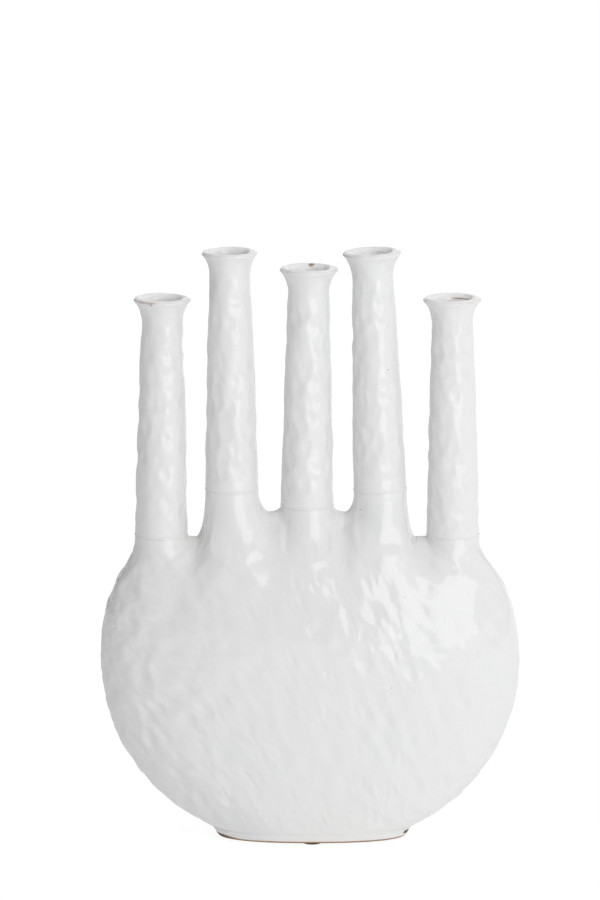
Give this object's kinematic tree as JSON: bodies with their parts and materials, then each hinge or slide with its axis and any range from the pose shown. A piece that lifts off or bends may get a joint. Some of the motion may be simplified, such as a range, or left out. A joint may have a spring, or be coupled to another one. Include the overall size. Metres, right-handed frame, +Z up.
{
  "type": "vase",
  "caption": "Flower vase with a flattened round body drawn up at the shoulders into a fan of tapering necks with flared lips, on a low oval foot with rubber pads, in white glaze.",
  "frame": {"origin": "on the table, under the middle of the vase's bounding box", "axes": "+Z up, +X to the vase's right as the picture shows it, so the necks stand in the XZ plane; -Y faces the viewer"},
  "size_m": [0.3015, 0.104, 0.4293],
  "materials": {
    "glaze": "gloss",
    "foot": "satin",
    "pad": "matte"
  },
  "bodies": {
    "root": {"body": "glaze", "foot": "foot", "neck_outer_left": "glaze", "neck_inner_left": "glaze", "neck_centre": "glaze", "neck_inner_right": "glaze", "neck_outer_right": "glaze", "pad_front": "pad", "pad_back": "pad", "pad_left": "pad", "pad_right": "pad"}
  },
  "joints": []
}
